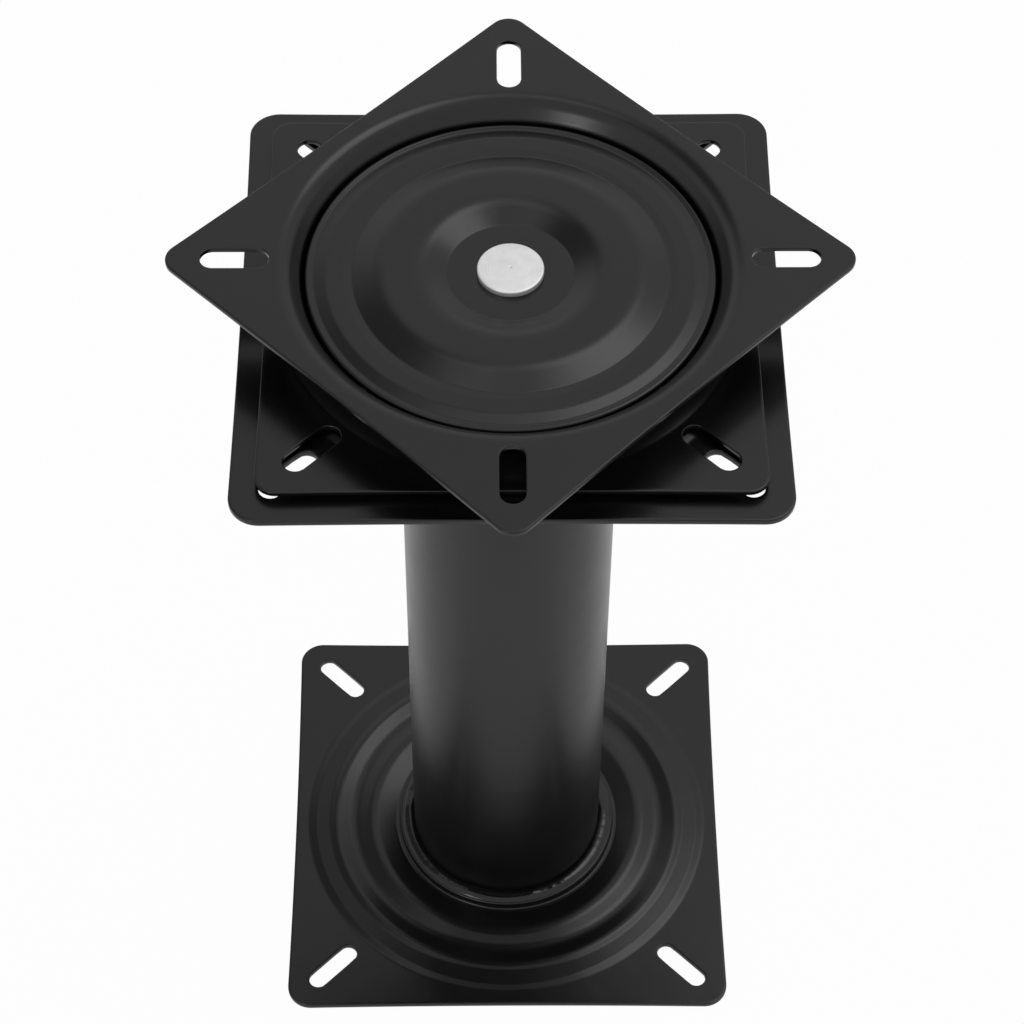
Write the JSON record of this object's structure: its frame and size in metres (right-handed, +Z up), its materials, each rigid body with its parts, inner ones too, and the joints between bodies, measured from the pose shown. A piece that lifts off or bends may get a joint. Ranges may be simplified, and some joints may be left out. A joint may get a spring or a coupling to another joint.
{
  "type": "swivel seat base",
  "caption": "Fixed-height steel seat pedestal: square pressed base, round column and top plate, with a square ball-bearing swivel on top whose upper plate turns without limit.",
  "frame": {"origin": "middle of the base plate, on the surface that it stands on", "axes": "+Z up along the column; X and Y along the edges of the base plate, -Y to the viewer of the picture; at rest the swivel's upper plate is turned by 45 degrees, as in the picture"},
  "size_m": [0.245, 0.245, 0.376],
  "materials": {
    "black_paint": "satin",
    "weld_paint": "gloss",
    "bright_zinc": "satin",
    "ball_steel": "gloss",
    "nylon": "matte"
  },
  "bodies": {
    "pedestal": {"base_plate": "black_paint", "base_weld": "weld_paint", "column_tube": "black_paint", "top_weld": "weld_paint", "top_plate": "black_paint", "swivel_lower_plate": "black_paint", "retaining_disc": "black_paint", "centre_rivet": "bright_zinc"},
    "seat_plate": {"swivel_upper_plate": "black_paint"},
    "lower_ball_row": {"lower_ball_cage": "nylon", "lower_ball_01": "ball_steel", "lower_ball_02": "ball_steel", "lower_ball_03": "ball_steel", "lower_ball_04": "ball_steel", "lower_ball_05": "ball_steel", "lower_ball_06": "ball_steel", "lower_ball_07": "ball_steel", "lower_ball_08": "ball_steel", "lower_ball_09": "ball_steel", "lower_ball_10": "ball_steel", "lower_ball_11": "ball_steel", "lower_ball_12": "ball_steel"},
    "upper_ball_row": {"upper_ball_cage": "nylon", "upper_ball_01": "ball_steel", "upper_ball_02": "ball_steel", "upper_ball_03": "ball_steel", "upper_ball_04": "ball_steel", "upper_ball_05": "ball_steel", "upper_ball_06": "ball_steel", "upper_ball_07": "ball_steel", "upper_ball_08": "ball_steel", "upper_ball_09": "ball_steel", "upper_ball_10": "ball_steel", "upper_ball_11": "ball_steel", "upper_ball_12": "ball_steel"}
  },
  "joints": [
    {"name": "swivel_turn", "type": "hinge", "parent": "pedestal", "child": "seat_plate", "pos_m": [0, 0, 0.362], "axis": [0, 0, 1], "continuous": true},
    {"name": "lower_row_turn", "type": "hinge", "parent": "pedestal", "child": "lower_ball_row", "pos_m": [0, 0, 0.357], "axis": [0, 0, 1], "continuous": true},
    {"name": "upper_row_turn", "type": "hinge", "parent": "pedestal", "child": "upper_ball_row", "pos_m": [0, 0, 0.364], "axis": [0, 0, 1], "continuous": true}
  ],
  "couplings": [
    {"joint": "lower_row_turn", "follows": "swivel_turn", "ratio": 0.5},
    {"joint": "upper_row_turn", "follows": "swivel_turn", "ratio": 0.5}
  ]
}
